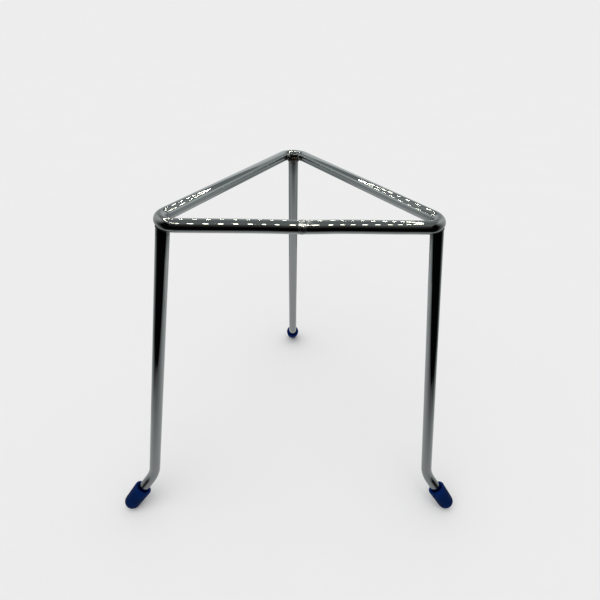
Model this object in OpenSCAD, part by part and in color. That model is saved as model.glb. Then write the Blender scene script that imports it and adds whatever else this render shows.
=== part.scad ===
// Laboratory tripod stand: a triangular top bent from one round steel rod, with three
// splayed legs of the same rod welded under its corners and a soft cap pushed on each foot.
// All lengths are in millimetres. The origin is on the bench, under the middle of the
// top, with +Z up. The side of the top that holds the butt weld faces -Y.

/* [Stand] */
// Height from the bench to the highest line of the top
stand_h = 210; // [150:1:280]
// Diameter of the steel rod that the top and the legs are bent from
rod_d = 7; // [5:0.1:8.5]

/* [Top] */
// Outside width of the triangular top, over its rounded corners
top_side = 147; // [110:1:220]
// Radius of the rod's centre line round each corner of the top
corner_bend_r = 9; // [7:0.5:18]

/* [Butt weld of the top] */
// Distance of the weld from the middle of the front side, towards +X
butt_offset = -1; // [-20:0.5:20]
// Width of the weld where it reaches the surface of the rod
butt_w = 4; // [2.5:0.1:7]
// Gap between the two chamfered ends of the rod at the root of the weld
butt_root = 0.8; // [0.3:0.1:2]
// Height of the weld's crown above the surface of the rod
butt_crown = 0.35; // [0.1:0.05:0.8]

/* [Legs] */
// Angle between a leg and the vertical
leg_splay = 9.6; // [3:0.1:16]
// Sideways lean of every leg, clockwise as seen from above
leg_lean = 1.5; // [0:0.1:4]
// Height that the coped end of a leg reaches up round the rod of the top
cope_h = 1.5; // [0.5:0.1:2]

/* [Feet] */
// Radius of the rod's centre line at the bend above the foot
foot_bend_r = 20; // [12:0.5:32]
// Angle between the foot and the bench
foot_angle = 47; // [30:1:60]
// Turn of the foot about its leg, clockwise as seen from above
foot_twist = 2; // [-5:0.5:5]
// Straight length of rod from the bend to the cut end
foot_len = 22; // [16:0.5:32]
// Chamfer of the cut end
foot_chamfer = 0.6; // [0.2:0.1:1.5]

/* [Leg welds] */
// Radius of the bead on the inner side of the corner, where it is heaviest
bead_in_r = 1.6; // [1:0.1:2.2]
// Radius of the bead on the outer side of the corner
bead_out_r = 0.6; // [0.6:0.1:1.2]
// Number of ripples in the bead round a leg
bead_ripples = 18; // [14:1:28]
// Part of its radius that a ripple loses under the next one
bead_trail = 0.2; // [0:0.05:0.4]

/* [Foot caps] */
// Length of a cap
cap_len = 17.5; // [14:0.5:24]
// Thickness of the cap's wall round the rod, at the mouth
cap_wall = 2.35; // [2:0.05:4]
// How much smaller the cap's radius is above its closed end than at the mouth
cap_draft = 0.55; // [0:0.05:0.8]
// Clearance between the rod and the bore of the cap, on the radius
cap_fit = 0.05; // [0.02:0.01:0.2]
// Thickness of the cap under the end of the rod
cap_end_t = 2.8; // [1.5:0.1:5]
// Width of the flat in the middle of the closed end
cap_flat_d = 1.4; // [0.4:0.1:5]
// Thickness of the rounded lip at the mouth
cap_lip_t = 1.2; // [0.8:0.1:1.5]
// Depth of the flare inside the mouth
cap_flare_h = 3; // [1.5:0.1:6]

/* [Hidden] */
$fn = 96;
// The small weld beads have fewer facets
bead_fn = 48;
ripple_fn = 12;

rod_r = rod_d / 2;
// Each straight length of the rod runs this far into its bends and is as much thicker,
// which makes them one piece
rod_lap = 0.002;
corners = ["back", "left", "right"];

// The top: distances from the middle to its bend centres, sides and corners
top_z = stand_h - rod_r;
bend_centre_r = (top_side / 2 - corner_bend_r - rod_r) / cos(30);
side_len = 2 * bend_centre_r * cos(30);
side_dist = bend_centre_r * sin(30) + corner_bend_r;
corner_r = bend_centre_r + corner_bend_r;

// The caps
cap_bore_r = rod_r + cap_fit;
cap_r = cap_bore_r + cap_wall;
cap_end_r = cap_r - cap_draft - cap_flat_d / 2;
cap_lip_r = cap_lip_t / 2;
cap_mouth_r = cap_r - cap_lip_t;

// How far a leg falls on its way out from its line and down along it
function leg_fall(out, down) =
    cos(leg_lean) * (cos(leg_splay) * down - sin(leg_splay) * cos(foot_twist) * out)
    - sin(leg_lean) * sin(foot_twist) * out;

// The legs: the shank is as long as puts the caps on the bench
foot_turn = 90 - foot_angle - leg_splay;
bend_fall = leg_fall(foot_bend_r * (1 - cos(foot_turn)), foot_bend_r * sin(foot_turn));
foot_slope = leg_fall(sin(foot_turn), cos(foot_turn));
foot_fall = (foot_len + cap_end_t - cap_end_r) * foot_slope;
cap_fall = cap_end_r + cap_flat_d / 2 * sin(acos(foot_slope));
shank_fall = stand_h - rod_d - bend_fall - foot_fall - cap_fall;
shank_len = shank_fall / leg_fall(0, 1);

// Steel with its chrome plating, the plated welds, and the blue of the caps
chrome_colour = [0.76, 0.78, 0.79];
weld_colour = [0.55, 0.54, 0.51];
cap_colour = [0.02, 0.09, 0.33];

// Places

// Turns to the corner with number i: 0 is at the back, 1 front left and 2 front right
module at_corner(i) {
    rotate([0, 0, 90 + 120 * i])
        children();
}

// The middle of a leg's upper end, under the rod of the top, with +Z down the leg
// and +X towards the inside of the stand
module at_leg(i) {
    at_corner(i)
        translate([corner_r, 0, stand_h - rod_d])
            rotate([-leg_lean, 0, 0])
                rotate([0, 180 - leg_splay, 0])
                    children();
}

// The same place, turned about the leg to where its foot bends out towards -X
module at_shank(i) {
    at_leg(i)
        rotate([0, 0, foot_twist])
            children();
}

// The lower end of the bend, with +Z along the foot
module at_foot(i) {
    at_shank(i)
        translate([-foot_bend_r, 0, shank_len])
            rotate([0, -foot_turn, 0])
                translate([foot_bend_r, 0, 0])
                    children();
}

// The middle of the butt weld, with +Z along the rod of the front side and -X towards
// the middle of the stand
module at_butt() {
    translate([butt_offset, -side_dist, top_z])
        rotate([-90, 0, 0])
            rotate([0, 90, 0])
                children();
}

// The bent rod: each length and each bend carries the next one on its end

// A straight length of rod, along +Z
module rod_run(length) {
    translate([0, 0, -rod_lap])
        cylinder(r = rod_r, h = length + 2 * rod_lap);
    translate([0, 0, length])
        children();
}

// A bend of the rod, from +Z round towards -X
module rod_bend(bend_r, angle) {
    translate([-bend_r, 0, 0]) {
        rotate([90, 0, 0])
            rotate_extrude(angle = angle)
                translate([bend_r, 0])
                    circle(r = rod_r - rod_lap);
        rotate([0, -angle, 0])
            translate([bend_r, 0, 0])
                children();
    }
}

// The top

// The rod of the top, bent from one of its ends at the butt weld round to the other
module top_rod() {
    at_butt()
        rod_run(side_len / 2 - butt_offset)
            rod_bend(corner_bend_r, 120)
                rod_run(side_len)
                    rod_bend(corner_bend_r, 120)
                        rod_run(side_len)
                            rod_bend(corner_bend_r, 120)
                                rod_run(side_len / 2 + butt_offset);
}

// The V between the chamfered ends of the rod, as deep as the rod's middle
module butt_groove(reach) {
    slope = (butt_w - butt_root) / 2 / rod_r;
    half_w = butt_root / 2 + slope * reach;
    rotate_extrude()
        polygon([
            [0, -butt_root / 2],
            [reach, -half_w],
            [reach, half_w],
            [0, butt_root / 2]
        ]);
}

module top_ring() {
    color(chrome_colour)
        difference() {
            top_rod();
            at_butt()
                butt_groove(rod_d);
        }
}

// The weld fills the V and stands up as a low crown, a slice of a large ball of metal
module butt_weld() {
    crown_r = (pow(butt_w / 2, 2) + pow(butt_crown, 2)) / (2 * butt_crown);
    color(weld_colour)
        at_butt()
            intersection() {
                butt_groove(rod_r + butt_crown);
                rotate_extrude()
                    difference() {
                        translate([rod_r + butt_crown - crown_r, 0])
                            circle(r = crown_r);
                        translate([-2 * crown_r, -crown_r])
                            square(2 * crown_r);
                    }
            }
}

// The legs

// The bent rod of a leg, cut off level at the height that its coped end reaches
module leg_blank(i) {
    difference() {
        at_shank(i)
            translate([0, 0, -rod_d])
                rod_run(shank_len + rod_d)
                    rod_bend(foot_bend_r, foot_turn)
                        rod_run(foot_len - foot_chamfer)
                            cylinder(r1 = rod_r, r2 = rod_r - foot_chamfer, h = foot_chamfer);
        at_corner(i)
            translate([corner_r - rod_d, -rod_d, stand_h - rod_d + cope_h])
                cube(2 * rod_d);
    }
}

module leg(i) {
    color(chrome_colour)
        difference() {
            leg_blank(i);
            top_rod();
        }
}

// The bead follows the coped joint round the leg, low where the rod of the top runs
// across and higher on the inner and outer sides, as a row of overlapping ripples

// Height of the joint above the leg's upper end, at an angle round the leg from its inner side
function joint_h(angle) = min(rod_r * (1 - abs(sin(angle))), cope_h);

function joint_z(angle) =
    -(joint_h(angle) + rod_r * cos(angle) * sin(leg_splay)) / cos(leg_splay);

function bead_r(angle) =
    bead_out_r + (bead_in_r - bead_out_r) * (1 + cos(angle)) / 2;

// One ripple of the bead, which trails off under the next one
module bead_ripple(k) {
    hull()
        for (step = [0, 1]) {
            angle = 360 / bead_ripples * (k + step);
            translate([rod_r * cos(angle), rod_r * sin(angle), joint_z(angle)])
                sphere(r = bead_r(angle) * (1 - bead_trail * step), $fn = ripple_fn);
        }
}

module leg_weld(i) {
    $fn = bead_fn;
    color(weld_colour)
        difference() {
            at_leg(i)
                for (k = [0:bead_ripples - 1])
                    bead_ripple(k);
            top_rod();
            leg_blank(i);
        }
}

// The foot caps

// Half section of a cap, with its axis on X = 0 and its closed end on Y = 0
module cap_section() {
    difference() {
        union() {
            translate([cap_flat_d / 2, cap_end_r])
                circle(r = cap_end_r);
            square([cap_flat_d / 2, cap_end_r]);
            polygon([
                [0, cap_end_r],
                [cap_r - cap_draft, cap_end_r],
                [cap_r, cap_len - cap_lip_r],
                [0, cap_len - cap_lip_r]
            ]);
            translate([cap_r - cap_lip_r, cap_len - cap_lip_r])
                circle(r = cap_lip_r);
        }
        translate([-cap_r, 0])
            square([cap_r, cap_len]);
        translate([0, cap_end_t])
            square([cap_bore_r, cap_len]);
        polygon([
            [0, cap_len - cap_flare_h],
            [cap_bore_r, cap_len - cap_flare_h],
            [cap_mouth_r, cap_len - cap_lip_r],
            [cap_mouth_r, cap_len],
            [0, cap_len]
        ]);
    }
}

module foot_cap(i) {
    color(cap_colour)
        at_foot(i)
            translate([0, 0, foot_len + cap_end_t])
                rotate([180, 0, 0])
                    rotate_extrude()
                        cap_section();
}

top_ring();
butt_weld();
for (i = [0:2]) {
    leg(i);
    leg_weld(i);
    foot_cap(i);
}
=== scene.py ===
"""Looks of a laboratory tripod stand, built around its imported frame.

All lengths are in metres, with +Z up and the origin on the bench under the middle of the top.
"""

from functools import partial
from math import acos, atan2, cos, exp, hypot, pi, radians, sin

import bmesh
import bpy
from bpy.props import FloatProperty, FloatVectorProperty, IntProperty, PointerProperty
from bpy.types import Operator, Panel, PropertyGroup
from mathutils import Matrix, Vector, noise


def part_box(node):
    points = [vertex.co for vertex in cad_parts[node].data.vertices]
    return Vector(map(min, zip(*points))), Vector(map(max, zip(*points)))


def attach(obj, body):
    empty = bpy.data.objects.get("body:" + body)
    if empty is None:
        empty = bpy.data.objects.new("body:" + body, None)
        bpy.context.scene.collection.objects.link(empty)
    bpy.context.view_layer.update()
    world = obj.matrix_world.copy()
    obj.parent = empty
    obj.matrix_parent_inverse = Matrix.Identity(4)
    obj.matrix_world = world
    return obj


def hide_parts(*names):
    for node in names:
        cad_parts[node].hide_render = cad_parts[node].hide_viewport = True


bl_info = {
    "name": "Laboratory Tripod Stand",
    "version": (1, 0, 0),
    "blender": (4, 5, 0),
    "location": "View3D > Sidebar > Tripod",
    "description": "Chrome rod tripod stand with welded legs and blue foot caps",
    "category": "Add Mesh",
}

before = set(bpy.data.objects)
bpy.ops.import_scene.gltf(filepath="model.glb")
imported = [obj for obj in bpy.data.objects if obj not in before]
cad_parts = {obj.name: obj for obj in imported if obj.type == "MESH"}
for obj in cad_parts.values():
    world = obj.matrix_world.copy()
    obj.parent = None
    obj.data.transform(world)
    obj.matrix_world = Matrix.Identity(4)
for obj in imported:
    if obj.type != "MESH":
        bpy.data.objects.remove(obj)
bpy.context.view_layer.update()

# The body that every piece rides on, and the corners in their order round the top
BODY = "root"
CORNERS = ("back", "left", "right")
CORNER_STEP = radians(120)
MM = 0.001

# Numbers of sides and steps that keep the chrome smooth, and the angle of an edge that stays sharp
ROD_SEGMENTS = 72
RUN_STEP = 2.5 * MM
BEND_STEPS = 40
TURNED_STEPS = 96
CREASE = radians(35)

# The top's own measures, which its box gives
RING_LOW, RING_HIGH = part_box("top_ring")
STAND_HEIGHT = RING_HIGH.z
ROD_DIAMETER = RING_HIGH.z - RING_LOW.z
SIDE_DISTANCE = -RING_LOW.y - ROD_DIAMETER / 2
CORNER_REACH = RING_HIGH.y - ROD_DIAMETER / 2
BEND_REACH = 2 * (CORNER_REACH - SIDE_DISTANCE)
CORNER_BEND = CORNER_REACH - BEND_REACH


# Sizes and colours

LengthProperty = partial(FloatProperty, unit="LENGTH")
AngleProperty = partial(FloatProperty, subtype="ANGLE")
ColourProperty = partial(FloatVectorProperty, size=3, subtype="COLOR", min=0.0, max=1.0)
PlaceProperty = partial(FloatVectorProperty, size=3, subtype="TRANSLATION", unit="LENGTH")


class TripodTop(PropertyGroup):
    """Sizes of the triangular top and its butt weld."""

    rod: LengthProperty(
        name="Rod Diameter",
        description="Diameter of the steel rod of the top and the legs",
        default=ROD_DIAMETER,
    )
    height: LengthProperty(
        name="Stand Height",
        description="Height from the bench to the highest line of the top",
        default=STAND_HEIGHT,
    )
    bend_reach: LengthProperty(
        name="Bend Centre Reach",
        description="Distance from the middle of the top to the centre of a corner's bend",
        default=BEND_REACH,
    )
    corner_bend: LengthProperty(
        name="Corner Bend Radius",
        description="Radius of the rod's centre line round a corner",
        default=CORNER_BEND,
    )
    butt_offset: LengthProperty(
        name="Butt Weld Offset",
        description="Distance of the butt weld from the middle of the front side",
        default=-1 * MM,
    )
    butt_width: LengthProperty(
        name="Butt Weld Width",
        description="Width of the butt weld at the rod's surface",
        default=4 * MM,
    )
    butt_root: LengthProperty(
        name="Butt Weld Root",
        description="Gap between the rod's two ends at the root of the weld",
        default=0.8 * MM,
    )
    butt_crown: LengthProperty(
        name="Butt Weld Crown",
        description="Height of the butt weld over the rod's surface",
        default=0.15 * MM,
    )
    sag: LengthProperty(
        name="Butt Weld Sag",
        description="How far the rod's ends dip where they were welded",
        default=0.3 * MM,
    )
    waviness: LengthProperty(
        name="Rod Waviness",
        description="How far the straightened rod wanders from its true line",
        default=0.02 * MM,
    )


class TripodLegs(PropertyGroup):
    """Sizes of the legs and the weld beads at their tops."""

    splay: AngleProperty(
        name="Splay",
        description="Angle between a leg and the vertical",
        default=radians(9.6),
    )
    lean: AngleProperty(
        name="Lean",
        description="Sideways lean of every leg, clockwise from above",
        default=radians(1.5),
    )
    foot_angle: AngleProperty(
        name="Foot Angle",
        description="Angle between a foot and the bench",
        default=radians(47),
    )
    foot_twist: AngleProperty(
        name="Foot Twist",
        description="Turn of a foot about its leg, clockwise from above",
        default=radians(2),
    )
    foot_bend: LengthProperty(
        name="Foot Bend Radius",
        description="Radius of the rod's centre line at the bend above the foot",
        default=20 * MM,
    )
    foot_length: LengthProperty(
        name="Foot Length",
        description="Straight length of rod from the bend to the cut end",
        default=22 * MM,
    )
    chamfer: LengthProperty(
        name="Foot Chamfer",
        description="Chamfer of the cut end",
        default=0.6 * MM,
    )
    cope: LengthProperty(
        name="Cope Height",
        description="Height that a leg's coped end reaches up round the rod of the top",
        default=1.5 * MM,
    )
    bead_inner: LengthProperty(
        name="Inner Bead Radius",
        description="Radius of the weld bead on the inner side of the corner",
        default=1.6 * MM,
    )
    bead_outer: LengthProperty(
        name="Outer Bead Radius",
        description="Radius of the weld bead on the outer side of the corner",
        default=0.25 * MM,
    )
    bead_ripples: IntProperty(
        name="Bead Ripples",
        description="Number of ripples in the bead round a leg",
        default=18,
        min=8,
        max=40,
    )
    bead_trail: FloatProperty(
        name="Bead Trail",
        description="Part of its radius that a ripple loses under the next one",
        default=0.22,
        min=0.0,
        max=0.5,
    )


class TripodCaps(PropertyGroup):
    """Sizes of the foot caps."""

    length: LengthProperty(
        name="Cap Length",
        description="Length of a cap",
        default=17.5 * MM,
    )
    wall: LengthProperty(
        name="Cap Wall",
        description="Thickness of a cap's wall round the rod, at the mouth",
        default=2.35 * MM,
    )
    draft: LengthProperty(
        name="Cap Draft",
        description="How much smaller a cap's radius is above its closed end than at the mouth",
        default=0.55 * MM,
    )
    fit: LengthProperty(
        name="Cap Fit",
        description="Clearance between the rod and the bore of a cap, on the radius",
        default=0.05 * MM,
    )
    end: LengthProperty(
        name="Cap End",
        description="Thickness of a cap under the end of the rod",
        default=2.8 * MM,
    )
    flat: LengthProperty(
        name="Cap Flat",
        description="Width of the flat in the middle of a cap's closed end",
        default=1.4 * MM,
    )
    lip: LengthProperty(
        name="Cap Lip",
        description="Thickness of the rounded lip at the mouth",
        default=1.2 * MM,
    )
    flare: LengthProperty(
        name="Mouth Flare",
        description="Depth of the flare inside the mouth",
        default=3 * MM,
    )


class TripodFinish(PropertyGroup):
    """Colours of the finishes."""

    chrome: ColourProperty(
        name="Chrome",
        description="Colour of the chrome plating",
        default=(0.252, 0.270, 0.270),
    )
    weld: ColourProperty(
        name="Weld",
        description="Colour of the plated weld beads",
        default=(0.055, 0.047, 0.035),
    )
    stain: ColourProperty(
        name="Weld Stain",
        description="Colour of the brown stain that heat leaves round a weld",
        default=(0.022, 0.016, 0.009),
    )
    cap: ColourProperty(
        name="Cap",
        description="Colour of the foot caps",
        default=(0.0, 0.0085, 0.050),
    )
    # Painted light: a lighter blue laid inside the caps' mouths against their shade, and as a
    # highlight on their lips
    cap_lip_light: ColourProperty(
        name="Cap Lip",
        description="Colour of the foot caps inside their mouths, where the vinyl is thinner",
        default=(0.0, 0.022, 0.170),
    )


class TripodStage(PropertyGroup):
    """The camera, the floor and the light tent round the stand."""

    camera_place: PlaceProperty(
        name="Camera Place",
        description="Where the camera stands",
        default=(-15.5 * MM, -239.4 * MM, 294.8 * MM),
    )
    camera_yaw: AngleProperty(
        name="Camera Yaw",
        description="How far the camera turns from +Y towards +X",
        default=radians(5.584),
    )
    camera_pitch: AngleProperty(
        name="Camera Pitch",
        description="How far the camera looks down",
        default=radians(33.971),
    )
    camera_roll: AngleProperty(
        name="Camera Roll",
        description="How far the camera turns about its own line of sight",
        default=radians(2.831),
    )
    camera_lens: FloatProperty(
        name="Camera Lens",
        description="Focal length of the camera's lens, in millimetres",
        default=26.068,
    )
    camera_shift: FloatVectorProperty(
        name="Camera Shift",
        description="Sideways and upward shift of the lens, in frame widths",
        default=(-0.01295, 0.00181),
        size=2,
    )
    pale: ColourProperty(
        name="Backdrop",
        description="Colour of the backdrop behind the floor, which metal shows too",
        default=(0.847, 0.847, 0.847),
    )
    soft_light: FloatProperty(
        name="Soft Light",
        description="Strength of the even light all round the stand",
        default=0.74,
        min=0.0,
    )
    floor_size: LengthProperty(
        name="Floor Size",
        description="Length of a side of the floor",
        default=40.0,
    )
    tent_half: LengthProperty(
        name="Tent Half Width",
        description="Distance from the middle of the light tent to each of its walls",
        default=190 * MM,
    )
    tent_height: LengthProperty(
        name="Tent Height",
        description="Height of the light tent",
        default=345 * MM,
    )
    ring_place: PlaceProperty(
        name="Lamp Ring Place",
        description="Middle of the ring of lamps under the tent's ceiling",
        default=(-26 * MM, -12 * MM, 338 * MM),
    )
    ring_half: LengthProperty(
        name="Lamp Ring Half Width",
        description="Distance from the middle of the ring of lamps to each of its sides",
        default=128 * MM,
    )
    ring_corner: LengthProperty(
        name="Lamp Ring Corner",
        description="Radius of the ring of lamps round its corners",
        default=96 * MM,
    )
    lamp_count: IntProperty(
        name="Lamp Count",
        description="Number of small lamps in the ring",
        default=69,
        min=4,
    )
    lamp_length: LengthProperty(
        name="Lamp Length",
        description="Length of one small lamp at the front of the ring, from front to back",
        default=24 * MM,
    )
    lamp_width: LengthProperty(
        name="Lamp Width",
        description="Width of one small lamp, from side to side",
        default=3.8 * MM,
    )
    lamp_glow: FloatProperty(
        name="Lamp Glow",
        description="How bright the small lamps show in metal",
        default=22.0,
        min=0.0,
    )


# Modelling tools


def only(kind, parts):
    """Those parts of a mesh that are of one kind."""
    return [part for part in parts if isinstance(part, kind)]


def swing(bm, geom, centre, axis, angle, steps, close=False):
    """Spins parts of a mesh round an axis, and returns the last section's parts."""
    return bmesh.ops.spin(
        bm,
        geom=geom,
        cent=centre,
        axis=axis,
        dvec=(0, 0, 0),
        angle=angle,
        steps=steps,
        use_merge=close,
        use_normal_flip=False,
        use_duplicate=False,
    )["geom_last"]


def chain_section(bm, radius, segments, matrix):
    """Starts a rod with a circle of vertices, and returns its edges."""
    made = bmesh.ops.create_circle(
        bm, cap_ends=False, segments=segments, radius=radius, matrix=matrix
    )
    return list(dict.fromkeys(edge for vert in made["verts"] for edge in vert.link_edges))


def chain_step(bm, edges, offset=(0, 0, 0), scale=1.0, centre=(0, 0, 0)):
    """Extrudes the rod's last section once, and returns the new section's edges."""
    made = bmesh.ops.extrude_edge_only(bm, edges=edges)["geom"]
    verts = only(bmesh.types.BMVert, made)
    bmesh.ops.translate(bm, verts=verts, vec=offset)
    if scale != 1.0:
        space = Matrix.Translation(-Vector(centre))
        bmesh.ops.scale(bm, verts=verts, vec=(scale,) * 3, space=space)
    return [edge for edge in only(bmesh.types.BMEdge, made) if edge.is_boundary]


def chain_run(bm, edges, length, direction, step):
    """Draws the rod out along a straight line, in lengths of about one step."""
    count = max(1, round(length / step))
    for _ in range(count):
        edges = chain_step(bm, edges, Vector(direction) * length / count)
    return edges


def chain_bend(bm, edges, centre, axis, angle, steps):
    """Draws the rod round a bend, and returns the last section's edges."""
    verts = list(dict.fromkeys(vert for edge in edges for vert in edge.verts))
    return only(bmesh.types.BMEdge, swing(bm, verts + edges, centre, axis, angle, steps))


def lathe_outline(bm, points):
    """Draws an open outline to spin round +Z. Points are (radius, height) pairs."""
    verts = [bm.verts.new((radius, 0, height)) for radius, height in points]
    for pair in zip(verts, verts[1:]):
        bm.edges.new(pair)
    return verts


def full_spin(bm, steps):
    """Spins everything in the mesh once round +Z, and closes the seam and the poles."""
    swing(bm, bm.verts[:] + bm.edges[:], (0, 0, 0), (0, 0, 1), 2 * pi, steps, close=True)
    bmesh.ops.remove_doubles(bm, verts=bm.verts[:], dist=0.001 * MM)


def round_corner(bm, vert, radius, segments):
    """Rounds one corner of an outline."""
    bmesh.ops.bevel(
        bm,
        geom=[vert],
        offset=radius,
        offset_type="OFFSET",
        segments=segments,
        profile=0.5,
        affect="VERTICES",
        material=-1,
    )


def new_object(name, bm, finish):
    """Turns a bmesh into an object of the scene, with the finish of that name."""
    mesh = bpy.data.meshes.new(name)
    bm.to_mesh(mesh)
    bm.free()
    mesh.materials.append(bpy.data.materials[finish])
    made = bpy.data.objects.new(name, mesh)
    bpy.context.scene.collection.objects.link(made)
    return made


def make_piece(name, bm, finish, node):
    """Turns a finished bmesh into the piece that stands for a node of the frame."""
    bmesh.ops.recalc_face_normals(bm, faces=bm.faces[:])
    for edge in bm.edges:
        edge.smooth = len(edge.link_faces) == 2 and edge.calc_face_angle(0.0) < CREASE
    for face in bm.faces:
        face.smooth = True
    piece = new_object(name, bm, finish)
    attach(piece, BODY)
    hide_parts(node)


# Places on the stand


def stand_sizes():
    """The sizes of the top, the legs and the caps."""
    scene = bpy.context.scene
    return scene.tripod_top, scene.tripod_legs, scene.tripod_caps


def front_reach(top):
    """Distance from the middle of the top to the rod of its front side."""
    return top.bend_reach * sin(pi / 6) + top.corner_bend


def corner_turn(corner):
    """Turns +X to the corner with that number."""
    return Matrix.Rotation(pi / 2 + CORNER_STEP * corner, 4, "Z")


def leg_place(corner):
    """The middle of a leg's upper end, with +Z down the leg and +X towards the inside."""
    top, legs, _ = stand_sizes()
    reach = top.bend_reach + top.corner_bend
    start = Matrix.Translation((reach, 0, top.height - top.rod))
    lean = Matrix.Rotation(-legs.lean, 4, "X")
    splay = Matrix.Rotation(pi - legs.splay, 4, "Y")
    return corner_turn(corner) @ start @ lean @ splay


def shank_place(corner):
    """The same place, turned about the leg to where its foot bends out towards -X."""
    _, legs, _ = stand_sizes()
    return leg_place(corner) @ Matrix.Rotation(legs.foot_twist, 4, "Z")


def foot_turn():
    """Angle of the bend above a foot."""
    _, legs, _ = stand_sizes()
    return pi / 2 - legs.foot_angle - legs.splay


def leg_fall(out, down):
    """How far a leg falls on its way out from its line and down along it."""
    _, legs, _ = stand_sizes()
    level = cos(legs.splay) * down - sin(legs.splay) * cos(legs.foot_twist) * out
    return cos(legs.lean) * level - sin(legs.lean) * sin(legs.foot_twist) * out


def shank_length():
    """Length of a leg from its upper end to its bend, which puts the caps on the bench."""
    top, legs, caps = stand_sizes()
    turn = foot_turn()
    end_round = cap_radius() - caps.draft - caps.flat / 2
    bend_fall = leg_fall(legs.foot_bend * (1 - cos(turn)), legs.foot_bend * sin(turn))
    foot_slope = leg_fall(sin(turn), cos(turn))
    foot_fall = (legs.foot_length + caps.end - end_round) * foot_slope
    cap_fall = end_round + caps.flat / 2 * sin(acos(foot_slope))
    shank_fall = top.height - top.rod - bend_fall - foot_fall - cap_fall
    return shank_fall / leg_fall(0, 1)


def cap_radius():
    """Outer radius of a foot cap at its mouth."""
    top, _, caps = stand_sizes()
    return top.rod / 2 + caps.fit + caps.wall


def foot_place(corner):
    """The cut end of a leg, with +Z along the foot."""
    _, legs, _ = stand_sizes()
    bend_centre = Matrix.Translation((-legs.foot_bend, 0, shank_length()))
    back_out = Matrix.Translation((legs.foot_bend, 0, legs.foot_length))
    return shank_place(corner) @ bend_centre @ Matrix.Rotation(-foot_turn(), 4, "Y") @ back_out


def ring_clearance(point, corner):
    """Distance from a point to the surface of the top's rod, near one corner."""
    top, _, _ = stand_sizes()
    local = corner_turn(corner).inverted() @ point
    across = local.x - top.bend_reach
    if abs(atan2(local.y, across)) < pi / 3:
        level = hypot(across, local.y) - top.corner_bend
    else:
        level = across * cos(pi / 3) + abs(local.y) * sin(pi / 3) - top.corner_bend
    rise = local.z - (top.height - top.rod / 2)
    return hypot(level, rise) - top.rod / 2


def joint_point(rim, up, corner):
    """Where a line up a leg's surface meets the rod of the top, or the cope's upper edge.

    The rim is where the leg's surface would end if it were cut off square.
    """
    top, legs, _ = stand_sizes()
    start = rim - up * top.rod / 4
    ceiling = top.height - top.rod + legs.cope

    def stopped(reach):
        point = start + up * reach
        return ring_clearance(point, corner) < 0 or point.z > ceiling

    # Short strides find the span in which it meets, and then halving narrows it
    strides, halvings = 60, 20
    span = top.rod * 2 / strides
    low = next(k * span for k in range(strides) if stopped((k + 1) * span))
    for _ in range(halvings):
        span /= 2
        if not stopped(low + span):
            low += span
    return start + up * low


# Finishes


def opaque(colour):
    """A colour with its alpha."""
    return (*colour, 1.0)


# Metal that was ground back and frosted at the butt weld, painted much lighter there as a
# highlight, and the dust on the foot caps
FROSTED_AND_HIGHLIT = opaque((0.62, 0.64, 0.63))
DUST = opaque((0.06, 0.07, 0.10))

# Values that are the same all over the metal pieces and all over the foot caps
METAL = {"Metallic": 1.0}
VINYL = {"IOR": 1.5, "Specular IOR Level": 0.03}


def empty_tree(owner):
    """The node tree of a new material or world, with nothing in it."""
    owner.use_nodes = True
    owner.node_tree.nodes.clear()
    return owner.node_tree


def add_node(tree, kind, inputs, **settings):
    """Adds a node with its settings, and joins its inputs to outputs or sets their values."""
    node = tree.nodes.new(kind)
    for name, value in settings.items():
        setattr(node, name, value)
    for name, value in inputs.items():
        if isinstance(value, bpy.types.NodeSocket):
            tree.links.new(value, node.inputs[name])
        else:
            node.inputs[name].default_value = value
    return node


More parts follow.
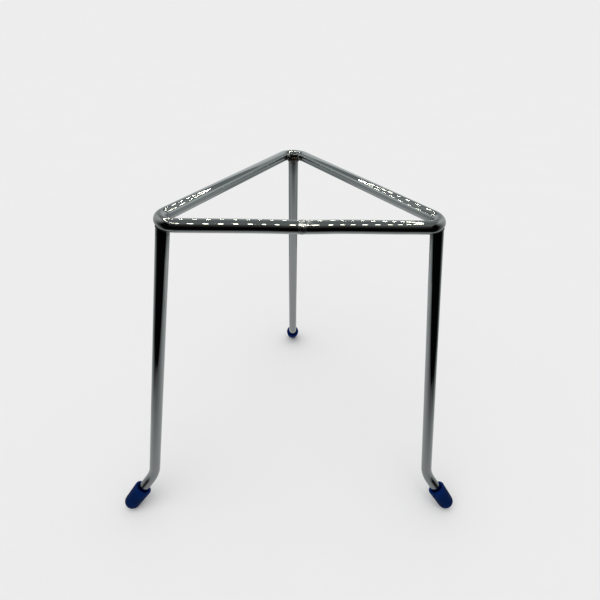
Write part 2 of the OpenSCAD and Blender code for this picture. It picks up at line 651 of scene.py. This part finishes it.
class Sheet:
    """A new material, whose nodes are added in few words."""

    def __init__(self, name):
        self.tree = empty_tree(bpy.data.materials.new(name))
        self.place = self.node("ShaderNodeTexCoord", {}).outputs["Object"]

    def node(self, kind, inputs, **settings):
        """Adds a node to the material."""
        return add_node(self.tree, kind, inputs, **settings)

    def show(self, shader):
        """Gives the material's surface its shader."""
        self.node("ShaderNodeOutputMaterial", {"Surface": shader.outputs[0]})

    def finish(self, colour, roughness, normal, all_over):
        """Finishes a piece of the stand, with the values that are the same all over it."""
        inputs = {"Base Color": colour, "Roughness": roughness, "Normal": normal}
        self.show(self.node("ShaderNodeBsdfPrincipled", {**inputs, **all_over}))

    def glow(self, colour, strength=1.0):
        """Makes a shader of that colour which needs no light."""
        return self.node("ShaderNodeEmission", {"Color": colour, "Strength": strength})

    def noise(self, scale, detail=3.0, roughness=0.5, distortion=0.0, stretch=None):
        """Soft noise, with scale in waves to the metre."""
        place = self.place
        if stretch is not None:
            mapping = self.node("ShaderNodeMapping", {"Vector": place, "Scale": stretch})
            place = mapping.outputs["Vector"]
        inputs = {
            "Vector": place,
            "Scale": scale,
            "Detail": detail,
            "Roughness": roughness,
            "Distortion": distortion,
        }
        return self.node("ShaderNodeTexNoise", inputs).outputs["Fac"]

    def cells(self, scale):
        """Distance to the nearest of many scattered points."""
        inputs = {"Vector": self.place, "Scale": scale}
        return self.node("ShaderNodeTexVoronoi", inputs).outputs["Distance"]

    def remap(self, value, low, high, to_low=0.0, to_high=1.0):
        """Carries low..high over to another range, with soft ends."""
        inputs = {
            "Value": value,
            "From Min": low,
            "From Max": high,
            "To Min": to_low,
            "To Max": to_high,
        }
        node = self.node("ShaderNodeMapRange", inputs, interpolation_type="SMOOTHSTEP")
        return node.outputs["Result"]

    def maths(self, operation, first, second=0.0):
        """One step of arithmetic."""
        return self.node("ShaderNodeMath", {0: first, 1: second}, operation=operation).outputs[0]

    def times(self, first, second):
        """One value times another."""
        return self.maths("MULTIPLY", first, second)

    def blend(self, share, first, second):
        """Mixes two colours."""
        inputs = {"Factor": share, "A": first, "B": second}
        return self.node("ShaderNodeMix", inputs, data_type="RGBA").outputs["Result"]

    def spot(self):
        """How far across, how far along and how high the surface is."""
        return self.node("ShaderNodeSeparateXYZ", {"Vector": self.place}).outputs

    def distance(self, point):
        """Distance of the surface from a point."""
        inputs = {0: self.place, 1: point}
        return self.node("ShaderNodeVectorMath", inputs, operation="DISTANCE").outputs["Value"]

    def nearest(self, points):
        """Distance of the surface from the nearest of three points."""
        first, second, third = [self.distance(point) for point in points]
        return self.maths("MINIMUM", self.maths("MINIMUM", first, second), third)

    def bump(self, value, depth, under=None):
        """A bump of that depth in metres, over another one where it is given."""
        inputs = {"Height": value, "Distance": depth, "Strength": 1.0}
        if under is not None:
            inputs["Normal"] = under
        return self.node("ShaderNodeBump", inputs).outputs["Normal"]


def near_joints(sheet, near, far):
    """1 close to a leg's joint, and 0 away from all three."""
    joints = [leg_place(corner).to_translation() for corner in range(len(CORNERS))]
    return sheet.remap(sheet.nearest(joints), near, far, 1.0, 0.0)


def frosted_highlight_patch(sheet):
    """1 on the top of the rod just past the butt weld, where it's been ground and frosted and
    where a highlight is painted.
    """
    top, _, _ = stand_sizes()
    middle = (top.butt_offset + 2.5 * MM, -front_reach(top), top.height)
    near = sheet.remap(sheet.distance(middle), 2.4 * MM, 4.2 * MM, 1.0, 0.0)
    return sheet.times(near, sheet.remap(sheet.noise(700, 4, 0.6), 0.38, 0.56))


def dull(colour):
    """The colour of plating that has lost some of its shine."""
    return opaque([0.8 * part for part in colour])


def chrome_finish(colours):
    """Bright chrome, with faint smears, fine wipe marks, brown heat stain at the joints, painted
    shade round the corners' bends and a painted highlight on the frosted patch past the butt weld.
    """
    sheet = Sheet("bright_chrome")
    smears = sheet.remap(sheet.noise(55, 5, 0.6, 0.6), 0.52, 0.75)
    specks = sheet.remap(sheet.cells(900), 0.03, 0.09, 1.0, 0.0)
    specks = sheet.times(specks, sheet.remap(sheet.noise(240, 2), 0.60, 0.66))
    heat = near_joints(sheet, 3.6 * MM, 7 * MM)
    heat = sheet.times(heat, sheet.remap(sheet.noise(420, 4, 0.6), 0.40, 0.60))
    # Painted shade: the chrome darkens towards the stain colour all round each corner, out to 13
    # mm from the joint
    painted_bend_shade = sheet.times(near_joints(sheet, 4 * MM, 13 * MM), 0.3)
    # Painted highlight: the rough frosted patch on the rod's top is also painted much lighter than
    # the chrome
    highlight_patch = frosted_highlight_patch(sheet)

    tone = sheet.blend(sheet.times(smears, 0.18), opaque(colours.chrome), dull(colours.chrome))
    tone = sheet.blend(sheet.times(highlight_patch, 0.7), tone, FROSTED_AND_HIGHLIT)
    # The real heat stain and the painted shade both pull the tone towards the stain colour
    stain_and_shade = sheet.maths("MAXIMUM", sheet.times(heat, 0.65), painted_bend_shade)
    tone = sheet.blend(stain_and_shade, tone, opaque(colours.stain))
    rough = sheet.remap(smears, 0.0, 1.0, 0.02, 0.045)
    for mark, share in ((specks, 0.2), (heat, 0.12), (highlight_patch, 0.34)):
        rough = sheet.maths("ADD", rough, sheet.times(mark, share))
    wipe = sheet.bump(sheet.noise(1400, 2, 0.5, stretch=(1.0, 1.0, 0.15)), 0.0006 * MM)
    peel = sheet.bump(sheet.noise(160, 2), 0.003 * MM, under=wipe)
    sheet.finish(tone, rough, peel, METAL)


def seam_finish(colours):
    """The butt weld, dressed back and plated with the rod, and frosted in patches on its top,
    which are painted lighter as a highlight.
    """
    top, _, _ = stand_sizes()
    sheet = Sheet("dressed_seam")
    frost_and_highlight = sheet.remap(sheet.noise(420, 4, 0.6, 0.4), 0.36, 0.58)
    low, high = top.height - 0.6 * top.rod, top.height - 0.3 * top.rod
    # Painted highlight: only the upper part of the seam is lifted towards the light frosted colour
    above = sheet.remap(sheet.spot()["Z"], low, high)
    tone = sheet.blend(sheet.times(frost_and_highlight, above), dull(colours.chrome), FROSTED_AND_HIGHLIT)
    rough = sheet.remap(frost_and_highlight, 0.0, 1.0, 0.10, 0.32)
    pits = sheet.bump(sheet.noise(2400, 3, 0.6), 0.008 * MM)
    sheet.finish(tone, rough, pits, METAL)


def weld_finish(colours):
    """Plated weld metal: duller than the rod, pitted, and mostly brown with heat stain."""
    sheet = Sheet("stained_weld")
    patches = sheet.remap(sheet.noise(520, 5, 0.65, 0.8), 0.40, 0.60, 1.0, 0.0)
    tone = sheet.blend(patches, opaque(colours.stain), opaque(colours.weld))
    rough = sheet.remap(patches, 0.0, 1.0, 0.50, 0.34)
    pits = sheet.bump(sheet.noise(2600, 3, 0.6), 0.015 * MM)
    lumps = sheet.bump(sheet.noise(700, 4, 0.6, 0.5), 0.06 * MM, under=pits)
    sheet.finish(tone, rough, lumps, METAL)


def painted_lip_light(sheet):
    """Painted light: 1 inside the mouths of the three caps, against their shade, and a little
    painted highlight that fades out down their sides.
    """
    _, _, caps = stand_sizes()
    mouth = Vector((0, 0, caps.end - caps.length))
    nearest = sheet.nearest([foot_place(corner) @ mouth for corner in range(len(CORNERS))])
    rim = cap_radius()
    # A little painted highlight, fading down the cap's side from the lip
    sides = sheet.remap(nearest, rim, rim + 1.6 * MM, 0.15, 0.0)
    # Painted light inside the mouth, which lifts the shade of the recess
    inside = sheet.remap(nearest, rim - 0.9 * MM, rim - 0.3 * MM, 0.85, 0.0)
    return sheet.maths("ADD", sides, inside)


def cap_finish(colours):
    """Soft dipped vinyl: satin, finely dimpled, with painted light in its mouth and a painted
    highlight at its lip, dusty where it stands.
    """
    sheet = Sheet("dipped_vinyl")
    bloom = sheet.remap(sheet.noise(170, 5, 0.6, 0.3), 0.42, 0.72, 0.0, 0.45)
    faded = opaque([1.6 * part + 0.001 for part in colours.cap])
    tone = sheet.blend(bloom, opaque(colours.cap), faded)
    # Painted light in the mouths and a painted highlight on the lips
    tone = sheet.blend(painted_lip_light(sheet), tone, opaque(colours.cap_lip_light))
    scuff = sheet.remap(sheet.spot()["Z"], 0.2 * MM, 1.6 * MM, 1.0, 0.0)
    scuff = sheet.times(scuff, sheet.remap(sheet.noise(900, 4, 0.7), 0.40, 0.66))
    tone = sheet.blend(sheet.times(scuff, 0.4), tone, DUST)
    rough = sheet.remap(sheet.noise(320, 4, 0.6), 0.3, 0.7, 0.40, 0.54)
    rough = sheet.maths("ADD", rough, sheet.times(scuff, 0.25))
    dimples = sheet.bump(sheet.noise(2200, 2, 0.5), 0.012 * MM)
    sag = sheet.bump(sheet.noise(260, 3, 0.5), 0.05 * MM, under=dimples)
    sheet.finish(tone, rough, sag, VINYL)


class TRIPOD_OT_finishes(Operator):
    """Make the chrome, weld and cap finishes"""

    bl_idname = "tripod.finishes"
    bl_label = "Finishes"

    def execute(self, context):
        for finish in (chrome_finish, seam_finish, weld_finish, cap_finish):
            finish(context.scene.tripod_finish)
        return {"FINISHED"}


# Pieces

# The part of the rod's radius that stays flat at the root of the butt weld's groove
ROOT_SHARE = 0.04

# Lengths of the slight waves in the rods, and of the dip at the butt weld and the rise past it.
# The seed keeps the waves the same each time the stand is built.
WAVE_SEED = 2
TOP_WAVE = 28 * MM
LEG_WAVE = 30 * MM
DIP_REACH = 13 * MM
RISE_PLACE = 22 * MM
RISE_REACH = 12 * MM
RISE_SHARE = 0.45

# Sizes of the lumps and creases in the butt weld
LUMP_LENGTH = 1.5 * MM
LUMP_HEIGHT = 0.10 * MM
CREASE_DEPTH = 0.12 * MM


class TRIPOD_OT_top_ring(Operator):
    """Bend the rod of the top round its three corners, from one end to the other"""

    bl_idname = "tripod.top_ring"
    bl_label = "Top Ring"

    def execute(self, context):
        top = context.scene.tripod_top
        rod_r = top.rod / 2
        level = top.height - rod_r
        side_half = top.bend_reach * cos(pi / 6)
        front = front_reach(top)
        groove = (top.butt_width - top.butt_root) / 2
        start_x = top.butt_offset + top.butt_root / 2
        along = Vector((1, 0, 0))

        bm = bmesh.new()
        place = Matrix.Translation((start_x, -front, level)) @ Matrix.Rotation(pi / 2, 4, "Y")
        edges = chain_section(bm, ROOT_SHARE * rod_r, ROD_SEGMENTS, place)
        rod_start = (start_x + groove, -front, level)
        edges = chain_step(bm, edges, along * groove, 1 / ROOT_SHARE, rod_start)
        first_run = side_half - start_x - groove
        edges = chain_run(bm, edges, first_run, along, RUN_STEP)
        for turn, corner in enumerate((2, 0, 1)):
            centre = corner_turn(corner) @ Vector((top.bend_reach, 0, level))
            edges = chain_bend(bm, edges, centre, (0, 0, 1), CORNER_STEP, BEND_STEPS)
            along = Matrix.Rotation(CORNER_STEP, 3, "Z") @ along
            last_run = side_half + top.butt_offset - top.butt_width / 2
            length = last_run if turn == 2 else 2 * side_half
            edges = chain_run(bm, edges, length, along, RUN_STEP)
        end_x = top.butt_offset - top.butt_root / 2
        chain_step(bm, edges, along * groove, ROOT_SHARE, (end_x, -front, level))
        bmesh.ops.holes_fill(bm, edges=bm.edges[:], sides=0)
        for vert in bm.verts:
            vert.co += rod_wander(vert.co, top)
        make_piece("top_rod", bm, "bright_chrome", "top_ring")
        return {"FINISHED"}


def rod_wander(point, top):
    """How far the rod of the top lies off its true line: a dip at the butt weld, and waviness."""
    wave = noise.noise_vector(point / TOP_WAVE) * top.waviness
    if abs(point.y + front_reach(top)) < top.rod:
        past = point.x - top.butt_offset
        dip = exp(-((past / DIP_REACH) ** 2))
        rise = exp(-(((past - RISE_PLACE) / RISE_REACH) ** 2))
        wave.z += top.sag * (RISE_SHARE * rise - dip)
    return wave


class TRIPOD_OT_butt_weld(Operator):
    """Lay the weld that joins the rod's two ends in the front side"""

    bl_idname = "tripod.butt_weld"
    bl_label = "Butt Weld"

    def execute(self, context):
        top = context.scene.tripod_top
        rod_r = top.rod / 2
        half = top.butt_width / 2
        crown_r = (half**2 + top.butt_crown**2) / (2 * top.butt_crown)
        crown_angle = atan2(half, crown_r - top.butt_crown)
        crown_steps = 14

        bm = bmesh.new()
        root = bm.verts.new((0, 0, -top.butt_root / 2))
        edge_low = bm.verts.new((rod_r, 0, -half))
        bm.edges.new((root, edge_low))
        crown_centre = (rod_r + top.butt_crown - crown_r, 0, 0)
        swing(bm, [edge_low], crown_centre, (0, 1, 0), -2 * crown_angle, crown_steps)
        tip = max(bm.verts, key=lambda vert: vert.co.z)
        last = bm.verts.new((0, 0, top.butt_root / 2))
        bm.edges.new((tip, last))
        full_spin(bm, TURNED_STEPS)
        for vert in bm.verts:
            vert.co += butt_ripple(vert.co, rod_r, half)
        place = Matrix.Translation((top.butt_offset, -front_reach(top), top.height - rod_r))
        lay = Matrix.Rotation(-pi / 2, 4, "X") @ Matrix.Rotation(pi / 2, 4, "Y")
        bmesh.ops.transform(bm, matrix=place @ lay, verts=bm.verts[:])
        for vert in bm.verts:
            vert.co += rod_wander(vert.co, top)
        make_piece("seam_weld", bm, "dressed_seam", "butt_weld")
        return {"FINISHED"}


def butt_ripple(point, rod_r, half):
    """Lumps of the butt weld, with two shallow creases that cross where it faces forward."""
    radial = Vector((point.x, point.y, 0))
    if radial.length < 0.9 * rod_r:
        return Vector((0, 0, 0))
    radial.normalize()
    turn = atan2(point.y, point.x) + radians(55)
    crease = 0.0
    for slant in (-1.0, 1.0):
        past = point.z - slant * 0.7 * half * sin(turn)
        crease += exp(-((past / (0.22 * half)) ** 2))
    lump = noise.noise(point / LUMP_LENGTH) * LUMP_HEIGHT
    # The ripple fades out towards the weld's two edges
    inside = max(0.0, 1 - abs(point.z) / half)
    return radial * (lump - CREASE_DEPTH * min(crease, 1.2)) * min(1.0, 3 * inside)


class TRIPOD_OT_legs(Operator):
    """Bend the three legs and cope their upper ends to the rod of the top"""

    bl_idname = "tripod.legs"
    bl_label = "Legs"

    def execute(self, context):
        for corner, name in enumerate(CORNERS):
            leg = leg_mesh(corner)
            make_piece(f"{name}_leg_rod", leg, "bright_chrome", f"leg_{name}")
        return {"FINISHED"}


def leg_mesh(corner):
    """One leg: shank, bend, foot and chamfer, with its coped end closed."""
    top, legs, _ = stand_sizes()
    rod_r = top.rod / 2
    down = Vector((0, 0, 1))
    turn = foot_turn()
    length = shank_length()
    settle = top.rod

    bm = bmesh.new()
    edges = chain_section(bm, rod_r, ROD_SEGMENTS, Matrix.Identity(4))
    crown = bm.verts[:]
    edges = chain_run(bm, edges, settle, down, RUN_STEP / 2)
    edges = chain_run(bm, edges, length - settle, down, RUN_STEP)
    centre = Vector((-legs.foot_bend, 0, length))
    edges = chain_bend(bm, edges, centre, (0, -1, 0), turn, BEND_STEPS // 2)
    out = Matrix.Rotation(-turn, 3, "Y") @ down
    edges = chain_run(bm, edges, legs.foot_length - legs.chamfer, out, RUN_STEP)
    foot_end = Matrix.Translation(centre) @ Matrix.Rotation(-turn, 4, "Y")
    end_point = foot_end @ Vector((legs.foot_bend, 0, legs.foot_length))
    edges = chain_step(bm, edges, out * legs.chamfer, 1 - legs.chamfer / rod_r, end_point)
    bmesh.ops.transform(bm, matrix=shank_place(corner), verts=bm.verts[:])
    up = leg_place(corner).to_3x3() @ -down
    for vert in crown:
        vert.co = joint_point(vert.co, up, corner)
    bmesh.ops.holes_fill(bm, edges=bm.edges[:], sides=0)
    ends = [face for face in bm.faces if len(face.verts) > 4]
    cope = [face for face in ends if face.calc_center_median().z > top.height / 2]
    bmesh.ops.triangulate(bm, faces=cope)
    for vert in bm.verts:
        vert.co += noise.noise_vector(vert.co / LEG_WAVE) * top.waviness
    return bm


class TRIPOD_OT_leg_welds(Operator):
    """Lay a rippled weld bead round the coped joint of each leg"""

    bl_idname = "tripod.leg_welds"
    bl_label = "Leg Welds"

    def execute(self, context):
        for corner, name in enumerate(CORNERS):
            bead = bead_mesh(corner)
            make_piece(f"{name}_weld_bead", bead, "stained_weld", f"leg_weld_{name}")
        return {"FINISHED"}


def bead_mesh(corner):
    """One bead: a ring round the leg, drawn along the joint and swollen into ripples."""
    top, legs, _ = stand_sizes()
    rod_r = top.rod / 2
    section_segments, ripple_steps = 20, 8
    apart = Vector((7 * corner, 0, 0))
    section = Matrix.Translation((rod_r, 0, 0)) @ Matrix.Rotation(pi / 2, 4, "X")

    bm = bmesh.new()
    chain_section(bm, MM, section_segments, section)
    full_spin(bm, legs.bead_ripples * ripple_steps)
    place = leg_place(corner)
    up = place.to_3x3() @ Vector((0, 0, -1))
    for vert in bm.verts:
        angle = atan2(vert.co.y, vert.co.x)
        around = Vector((cos(angle), sin(angle), 0))
        offset = (vert.co - around * rod_r) / MM
        phase = (angle / (2 * pi) * legs.bead_ripples) % 1.0
        inside = ((1 + cos(angle)) / 2) ** 2.2
        size = legs.bead_outer + (legs.bead_inner - legs.bead_outer) * inside
        size *= 1 - legs.bead_trail * phase**1.5
        size *= 1 + 0.12 * noise.noise(vert.co / (1.1 * MM) + apart)
        rim = place @ (around * rod_r)
        vert.co = joint_point(rim, up, corner) + place.to_3x3() @ (offset * size)
    return bm


class TRIPOD_OT_foot_caps(Operator):
    """Turn the three soft caps and push them on the feet"""

    bl_idname = "tripod.foot_caps"
    bl_label = "Foot Caps"

    def execute(self, context):
        for corner, name in enumerate(CORNERS):
            bm = cap_mesh()
            seat = foot_place(corner) @ Matrix.Translation((0, 0, context.scene.tripod_caps.end))
            bmesh.ops.transform(bm, matrix=seat @ Matrix.Rotation(pi, 4, "X"), verts=bm.verts[:])
            make_piece(f"{name}_vinyl_cap", bm, "dipped_vinyl", f"foot_cap_{name}")
        return {"FINISHED"}


def cap_mesh():
    """One cap, upright on its closed end: a rounded end, a rolled lip and a flared mouth."""
    top, _, caps = stand_sizes()
    outer = cap_radius()
    bore = top.rod / 2 + caps.fit
    mouth = outer - caps.lip
    end_round = outer - caps.draft - caps.flat / 2
    taper = caps.draft / (caps.length - caps.lip / 2 - end_round)

    bm = bmesh.new()
    outline = lathe_outline(
        bm,
        [
            (0, 0),
            (outer - caps.draft - taper * end_round, 0),
            (outer + taper * caps.lip / 2, caps.length),
            (mouth, caps.length),
            (bore, caps.length - caps.flare),
            (bore, caps.end),
            (0, caps.end),
        ],
    )
    closed_end, lip_outside, lip_inside, throat = outline[1:5]
    round_corner(bm, closed_end, end_round, 20)
    round_corner(bm, lip_outside, 0.49 * caps.lip, 8)
    round_corner(bm, lip_inside, 0.4 * caps.lip, 8)
    round_corner(bm, throat, 0.8 * MM, 5)
    full_spin(bm, TURNED_STEPS)
    return bm


# Stage

# How bright the light tent's cards are: its walls low down and high up, its ceiling over the
# front and over the back, and the dark card across the front with its dim upper edge
WALL_LOW = opaque((0.595, 0.625, 0.625))
WALL_REAR = opaque((0.405, 0.425, 0.425))
WALL_HIGH = opaque((1.17, 1.21, 1.20))
CEILING_FRONT = opaque((0.34, 0.355, 0.36))
CEILING_BACK = opaque((0.58, 0.61, 0.60))
DARK = opaque((0.004, 0.004, 0.004))
DIM = opaque((0.2, 0.195, 0.18))

# The two tones of the floor's mottle, which its light brings up to the backdrop's
FLOOR_LOW = opaque([0.818] * 3)
FLOOR_HIGH = opaque([0.824] * 3)

# The soft lamp's strength, its breadth in the sky and its turns from straight down
SUN_STRENGTH = 1.04
SUN_BREADTH = radians(70)
SUN_TURNS = (radians(20), radians(-18), 0)

# The small lamps' colour, and how many times brighter the rear ones are than the front ones
LAMP_COLOUR = opaque((1.0, 0.935, 0.78))
REAR_GAIN = 4.0


class TRIPOD_OT_stage(Operator):
    """Set up the camera, the pale floor, the soft light and the light tent"""

    bl_idname = "tripod.stage"
    bl_label = "Stage"

    def execute(self, context):
        stage = context.scene.tripod_stage
        place_camera(context.scene, stage)
        pale_world(context.scene, stage)
        lay_floor(stage)
        soft_sun()
        hang_tent(stage)
        hang_dark_card(stage)
        hang_lamps(stage)
        context.scene.view_settings.view_transform = "Standard"
        return {"FINISHED"}


def place_camera(scene, stage):
    """Puts the camera at its place, turned by its yaw, pitch and roll."""
    data = bpy.data.cameras.new("stand_view")
    data.sensor_width = 36.0
    data.lens = stage.camera_lens
    data.shift_x, data.shift_y = stage.camera_shift
    data.clip_start = 0.01
    data.clip_end = 100.0
    camera = bpy.data.objects.new("stand_view", data)
    scene.collection.objects.link(camera)
    camera.matrix_world = (
        Matrix.Translation(stage.camera_place)
        @ Matrix.Rotation(-stage.camera_yaw, 4, "Z")
        @ Matrix.Rotation(pi / 2 - stage.camera_pitch, 4, "X")
        @ Matrix.Rotation(stage.camera_roll, 4, "Z")
    )
    scene.camera = camera


def seen_ray(tree):
    """1 for a ray that shows a surface to the camera, directly or in metal or glass."""
    rays = add_node(tree, "ShaderNodeLightPath", {}).outputs
    total = rays["Is Camera Ray"]
    for kind in ("Is Glossy Ray", "Is Transmission Ray"):
        both = {0: total, 1: rays[kind]}
        total = add_node(tree, "ShaderNodeMath", both, operation="MAXIMUM").outputs[0]
    return total


def pale_world(scene, stage):
    """A pale backdrop, which metal shows too, and even soft light on the stand."""
    world = bpy.data.worlds.new("studio")
    tree = empty_tree(world)
    even = {"Color": opaque((1.0, 1.0, 1.0)), "Strength": stage.soft_light}
    light = add_node(tree, "ShaderNodeBackground", even)
    backdrop = add_node(tree, "ShaderNodeBackground", {"Color": opaque(stage.pale)})
    both = {"Fac": seen_ray(tree), 1: light.outputs[0], 2: backdrop.outputs[0]}
    mix = add_node(tree, "ShaderNodeMixShader", both)
    add_node(tree, "ShaderNodeOutputWorld", {"Surface": mix.outputs[0]})
    scene.world = world


def stage_object(name, bm, material):
    """Turns a bmesh into an object of the scene, with the material of that name."""
    piece = new_object(name, bm, material)
    return piece


def hidden_card(name, bm, material):
    """Turns a bmesh into an object of the scene that shows only in reflections."""
    piece = stage_object(name, bm, material)
    piece.visible_camera = False
    piece.visible_diffuse = False
    piece.visible_transmission = False
    piece.visible_volume_scatter = False
    piece.visible_shadow = False


def lay_floor(stage):
    """The pale floor, with a very faint mottle, and the soft shadow of the stand."""
    sheet = Sheet("pale_floor")
    mottle = sheet.remap(sheet.noise(9, 4), 0.3, 0.7)
    tone = sheet.blend(mottle, FLOOR_LOW, FLOOR_HIGH)
    sheet.show(sheet.node("ShaderNodeBsdfDiffuse", {"Color": tone}))
    bm = bmesh.new()
    bmesh.ops.create_grid(bm, x_segments=1, y_segments=1, size=stage.floor_size / 2)
    stage_object("pale_floor", bm, "pale_floor")


def soft_sun():
    """A broad soft lamp from the upper left, which gives the stand its faint shadow."""
    data = bpy.data.lights.new("soft_sun", "SUN")
    data.energy = SUN_STRENGTH
    data.angle = SUN_BREADTH
    lamp = bpy.data.objects.new("soft_sun", data)
    lamp.rotation_euler = SUN_TURNS
    lamp.visible_glossy = False
    bpy.context.scene.collection.objects.link(lamp)


def hang_tent(stage):
    """The cards of the light tent: pale walls that darken to the front, and a grey ceiling."""
    sheet = Sheet("tent_cloth")
    half, top = stage.tent_half, stage.tent_height
    across, along, height = sheet.spot()
    # The walls glow most high up and away from the tent's corners
    wide = sheet.times(sheet.maths("ABSOLUTE", across), 1.35)
    reach = sheet.maths("MINIMUM", wide, sheet.maths("ABSOLUTE", along))
    high_up = sheet.remap(height, 0.43 * top, 0.87 * top)
    glow = sheet.times(high_up, sheet.remap(reach, 0.25 * half, 1.05 * half, 1.0, 0.0))
    glow = sheet.times(glow, sheet.remap(height, 0.94 * top, top, 1.0, 0.0))
    low_down = sheet.remap(height, 0.15 * top, 0.5 * top, 1.0, 0.0)
    rear = sheet.times(sheet.remap(along, 0.55 * half, 0.95 * half), low_down)
    wall = sheet.blend(glow, sheet.blend(rear, WALL_LOW, WALL_REAR), WALL_HIGH)
    # Their front parts are dark, which starts further forward near the floor
    shift = sheet.times(sheet.maths("MINIMUM", height, 0.24 * top), 1.16)
    bulge = sheet.maths("ABSOLUTE", sheet.maths("SUBTRACT", height, 0.6 * top))
    bulge = sheet.remap(bulge, 0.0, 0.2 * top, 0.1 * half, 0.0)
    bulge = sheet.times(bulge, sheet.remap(across, -half, half, 1.2, 0.3))
    shift = sheet.maths("ADD", shift, bulge)
    lit = sheet.remap(sheet.maths("SUBTRACT", along, shift), -1.04 * half, -0.41 * half)
    wall = sheet.blend(lit, DARK, wall)
    behind = sheet.remap(along, 0.1 * half, 0.27 * half)
    behind = sheet.times(behind, sheet.remap(along, 0.5 * half, 0.66 * half, 1.0, 0.2))
    ceiling = sheet.blend(behind, CEILING_FRONT, CEILING_BACK)
    overhead = sheet.remap(height, 0.99 * top, 0.999 * top)
    sheet.show(sheet.glow(sheet.blend(overhead, wall, ceiling)))
    bm = bmesh.new()
    size = Matrix.Diagonal((2 * half, 2 * half, top, 1))
    bmesh.ops.create_cube(bm, size=1.0, matrix=Matrix.Translation((0, 0, top / 2)) @ size)
    open_sides = [face for face in bm.faces if min(face.normal.y, face.normal.z) < -0.5]
    bmesh.ops.delete(bm, geom=open_sides, context="FACES")
    hidden_card("light_tent", bm, "tent_cloth")


def hang_dark_card(stage):
    """The dark card across the tent's front, whose foot fades out over the floor."""
    sheet = Sheet("dark_card")
    half, top = stage.tent_half, stage.tent_height
    across, along, height = sheet.spot()
    # Its top takes a little light, more in the middle than towards the ends
    high = sheet.remap(height, 0.56 * top, 1.05 * top)
    middle = sheet.maths("ABSOLUTE", sheet.maths("SUBTRACT", across, 0.1 * half))
    middle = sheet.remap(middle, 0.2 * half, 0.9 * half, 1.0, 0.35)
    tone = sheet.blend(sheet.times(high, middle), DARK, DIM)
    clear = sheet.node("ShaderNodeBsdfTransparent", {})
    fade = sheet.remap(along, -1.5 * half, 0.0, 1.0, 0.0)
    stand = sheet.remap(height, 0.0, 0.18 * top)
    solid = sheet.maths("ADD", fade, stand)
    both = {"Fac": solid, 1: clear.outputs[0], 2: sheet.glow(tone).outputs[0]}
    sheet.show(sheet.node("ShaderNodeMixShader", both))
    bm = bmesh.new()
    edge = [bm.verts.new((x, 0, 0.05 * MM)) for x in (-half, half)]
    start = [bm.edges.new(edge)]
    for move in ((0, -half, 0), (0, 0, top)):
        verts = only(bmesh.types.BMVert, bmesh.ops.extrude_edge_only(bm, edges=start)["geom"])
        bmesh.ops.translate(bm, verts=verts, vec=move)
        start = [edge for edge in bm.edges if all(vert in verts for vert in edge.verts)]
    hidden_card("dark_card", bm, "dark_card")


def hang_lamps(stage):
    """A ring of small bar lamps under the ceiling, which sparkle in the chrome."""
    sheet = Sheet("small_lamps")
    half = stage.tent_half
    gain = sheet.remap(sheet.spot()["Y"], -0.74 * half, 0.61 * half, 1.0, REAR_GAIN)
    sheet.show(sheet.glow(LAMP_COLOUR, sheet.times(gain, stage.lamp_glow)))
    width, spare = stage.lamp_width, stage.lamp_length - stage.lamp_width
    bm = bmesh.new()
    for k in range(stage.lamp_count):
        place = ring_place(stage, k / stage.lamp_count)
        # Long at the ring's front, which the front rod sees foreshortened the most
        length = width + max(0.1 * spare, spare * max(0.0, place.col[1].y) ** 3)
        lamp = Matrix.Translation(place.translation) @ Matrix.Diagonal((width, length, 1, 1))
        bmesh.ops.create_grid(bm, x_segments=1, y_segments=1, size=0.5, matrix=lamp)
    hidden_card("small_lamps", bm, "small_lamps")


def ring_place(stage, share):
    """A place that share of the way round the rounded square of lamps, with -Y outwards."""
    straight = 2 * (stage.ring_half - stage.ring_corner)
    bend = pi / 2 * stage.ring_corner
    side, travel = divmod(share * 4 * (straight + bend), straight + bend)
    turned = max(0.0, travel - straight) / stage.ring_corner
    along = min(travel, straight) - straight / 2
    centre = Matrix.Translation((along, stage.ring_corner - stage.ring_half, 0))
    out = Matrix.Rotation(turned, 4, "Z") @ Matrix.Translation((0, -stage.ring_corner, 0))
    quarter = Matrix.Rotation(side * pi / 2, 4, "Z")
    return Matrix.Translation(stage.ring_place) @ quarter @ centre @ out


# The add-on


class TRIPOD_PT_panel(Panel):
    """Lists the stand's pieces in the sidebar"""

    bl_label = "Tripod Stand"
    bl_idname = "TRIPOD_PT_panel"
    bl_space_type = "VIEW_3D"
    bl_region_type = "UI"
    bl_category = "Tripod"

    def draw(self, context):
        for operator in OPERATORS:
            self.layout.operator(operator.bl_idname)
        for name in GROUPS:
            group = getattr(context.scene, name)
            box = self.layout.box()
            for key in group.bl_rna.properties.keys():
                if key not in ("rna_type", "name"):
                    box.prop(group, key)


OPERATORS = (
    TRIPOD_OT_finishes,
    TRIPOD_OT_top_ring,
    TRIPOD_OT_butt_weld,
    TRIPOD_OT_legs,
    TRIPOD_OT_leg_welds,
    TRIPOD_OT_foot_caps,
    TRIPOD_OT_stage,
)
GROUPS = {
    "tripod_top": TripodTop,
    "tripod_legs": TripodLegs,
    "tripod_caps": TripodCaps,
    "tripod_finish": TripodFinish,
    "tripod_stage": TripodStage,
}
CLASSES = (*GROUPS.values(), *OPERATORS, TRIPOD_PT_panel)


def register():
    for cls in CLASSES:
        bpy.utils.register_class(cls)
    for name, group in GROUPS.items():
        setattr(bpy.types.Scene, name, PointerProperty(type=group))


def unregister():
    for name in GROUPS:
        delattr(bpy.types.Scene, name)
    for cls in reversed(CLASSES):
        bpy.utils.unregister_class(cls)


def main():
    """Builds the whole stand and its stage."""
    noise.seed_set(WAVE_SEED)
    register()
    bpy.ops.tripod.finishes()
    bpy.ops.tripod.top_ring()
    bpy.ops.tripod.butt_weld()
    bpy.ops.tripod.legs()
    bpy.ops.tripod.leg_welds()
    bpy.ops.tripod.foot_caps()
    bpy.ops.tripod.stage()


if __name__ == "__main__":
    main()
